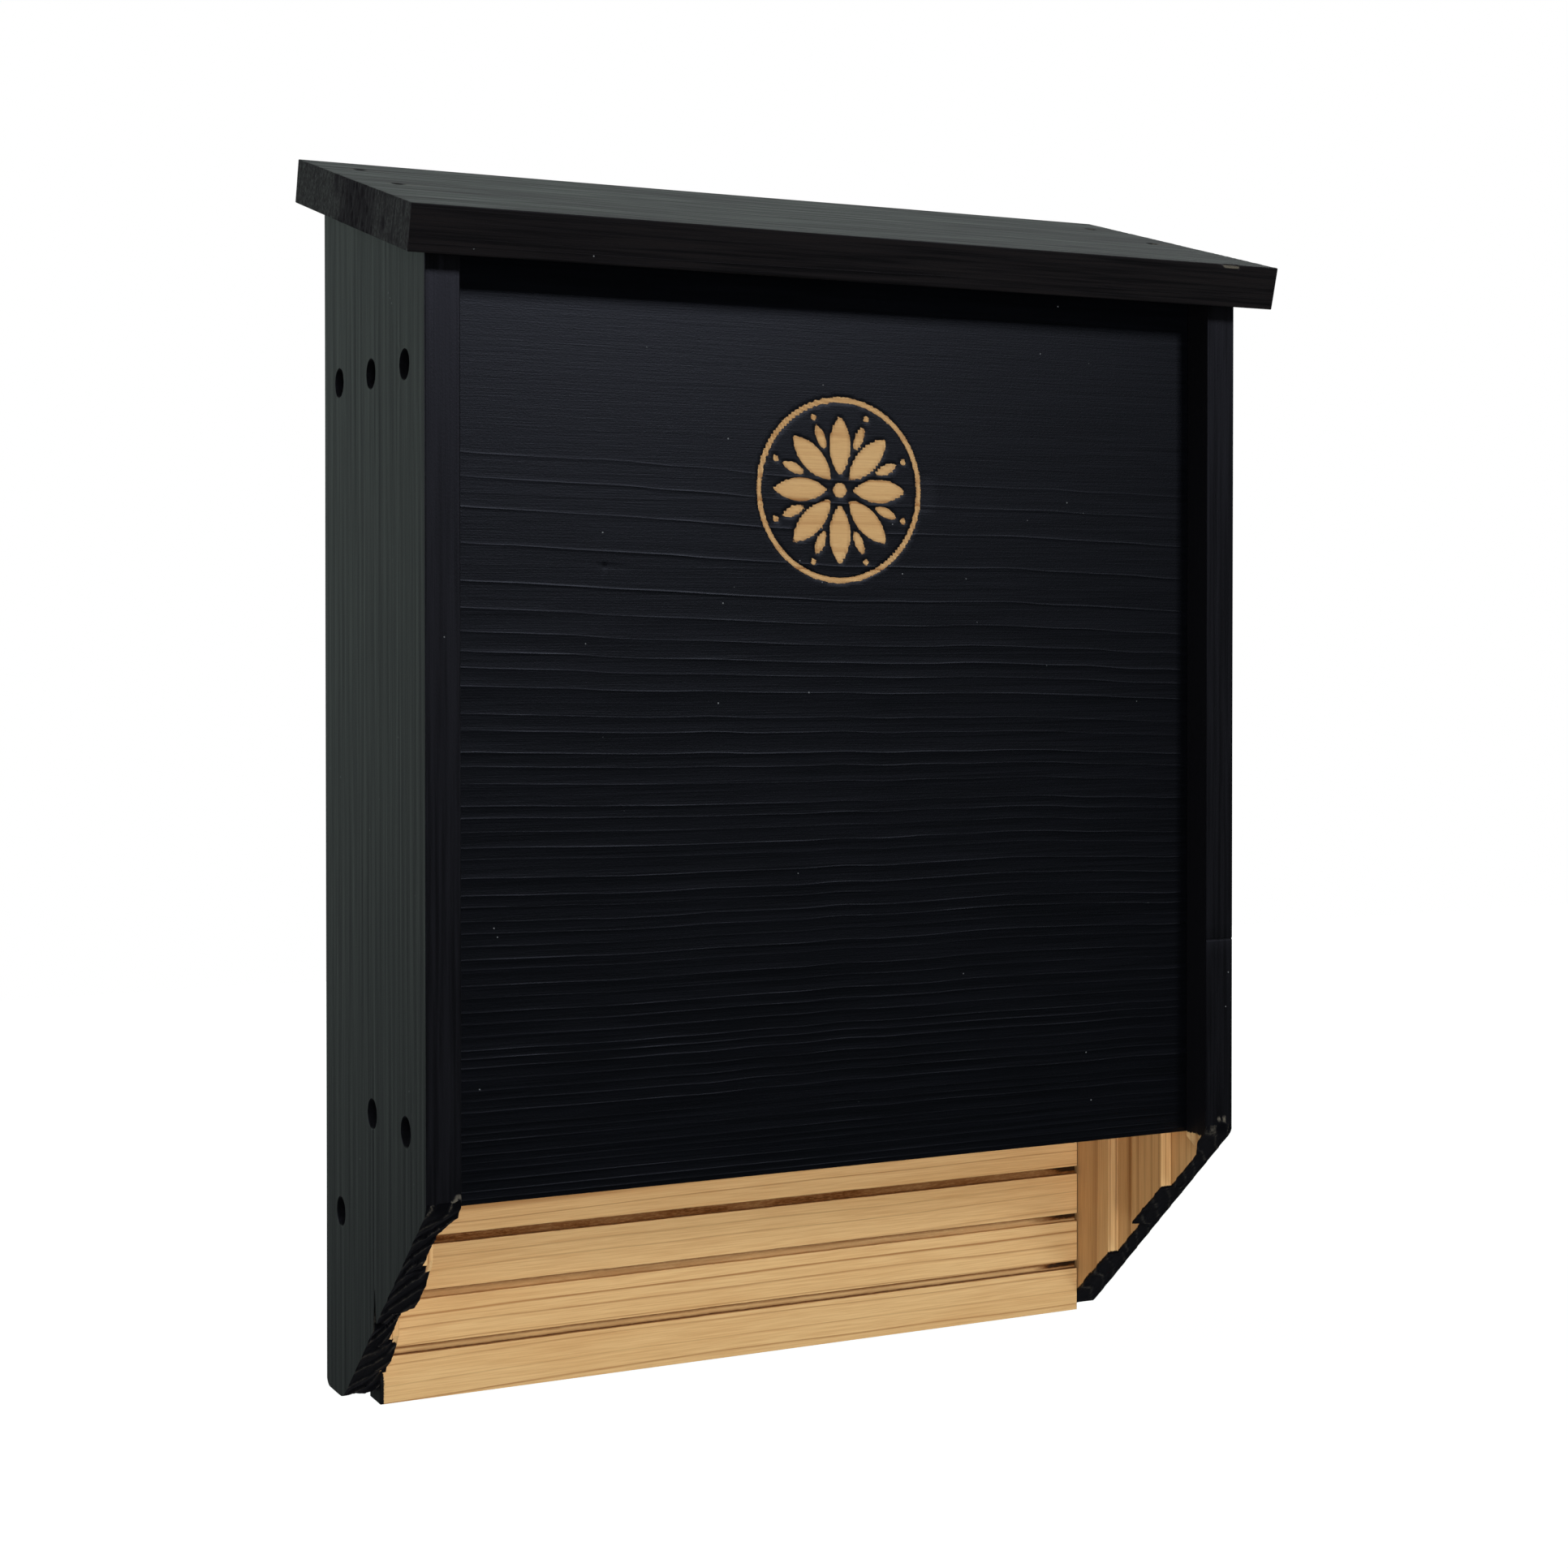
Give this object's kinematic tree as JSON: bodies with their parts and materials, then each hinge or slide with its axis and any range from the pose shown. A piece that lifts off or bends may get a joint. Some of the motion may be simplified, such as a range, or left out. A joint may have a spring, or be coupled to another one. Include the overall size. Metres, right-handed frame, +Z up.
{
  "type": "bat box",
  "caption": "Wall-hung wooden bat box: two roosting chambers behind a stained front panel, open foot with a kerfed landing board, sloping roof.",
  "frame": {"origin": "on the wall plane, in the middle of the width, where the wall screw's shank carries the slot of the keyhole plate", "axes": "+X to the right as seen from the front, +Y back into the wall, +Z up"},
  "size_m": [0.3334, 0.1305, 0.4404],
  "materials": {
    "stained_wood": "pine stained black, satin",
    "natural_wood": "bare sawn pine",
    "zinc_steel": "zinc plated",
    "painted_nail": "sunk and stained over with the roof"
  },
  "bodies": {
    "root": {"side_panel_left": "stained_wood", "side_panel_right": "stained_wood", "front_panel": "stained_wood", "roof_board": "stained_wood", "back_panel": "natural_wood", "centre_baffle": "natural_wood", "back_screw_left_top": "zinc_steel", "back_screw_left_low": "zinc_steel", "back_screw_right_top": "zinc_steel", "back_screw_right_low": "zinc_steel", "baffle_screw_left_top": "zinc_steel", "baffle_screw_left_low": "zinc_steel", "baffle_screw_right_top": "zinc_steel", "baffle_screw_right_low": "zinc_steel", "front_screw_left_top": "zinc_steel", "front_screw_left_low": "zinc_steel", "front_screw_right_top": "zinc_steel", "front_screw_right_low": "zinc_steel", "roof_nail_left_rear": "painted_nail", "roof_nail_left_front": "painted_nail", "roof_nail_right_rear": "painted_nail", "roof_nail_right_front": "painted_nail", "hanger_plate": "zinc_steel", "hanger_screw_left": "zinc_steel", "hanger_screw_right": "zinc_steel"}
  },
  "joints": []
}
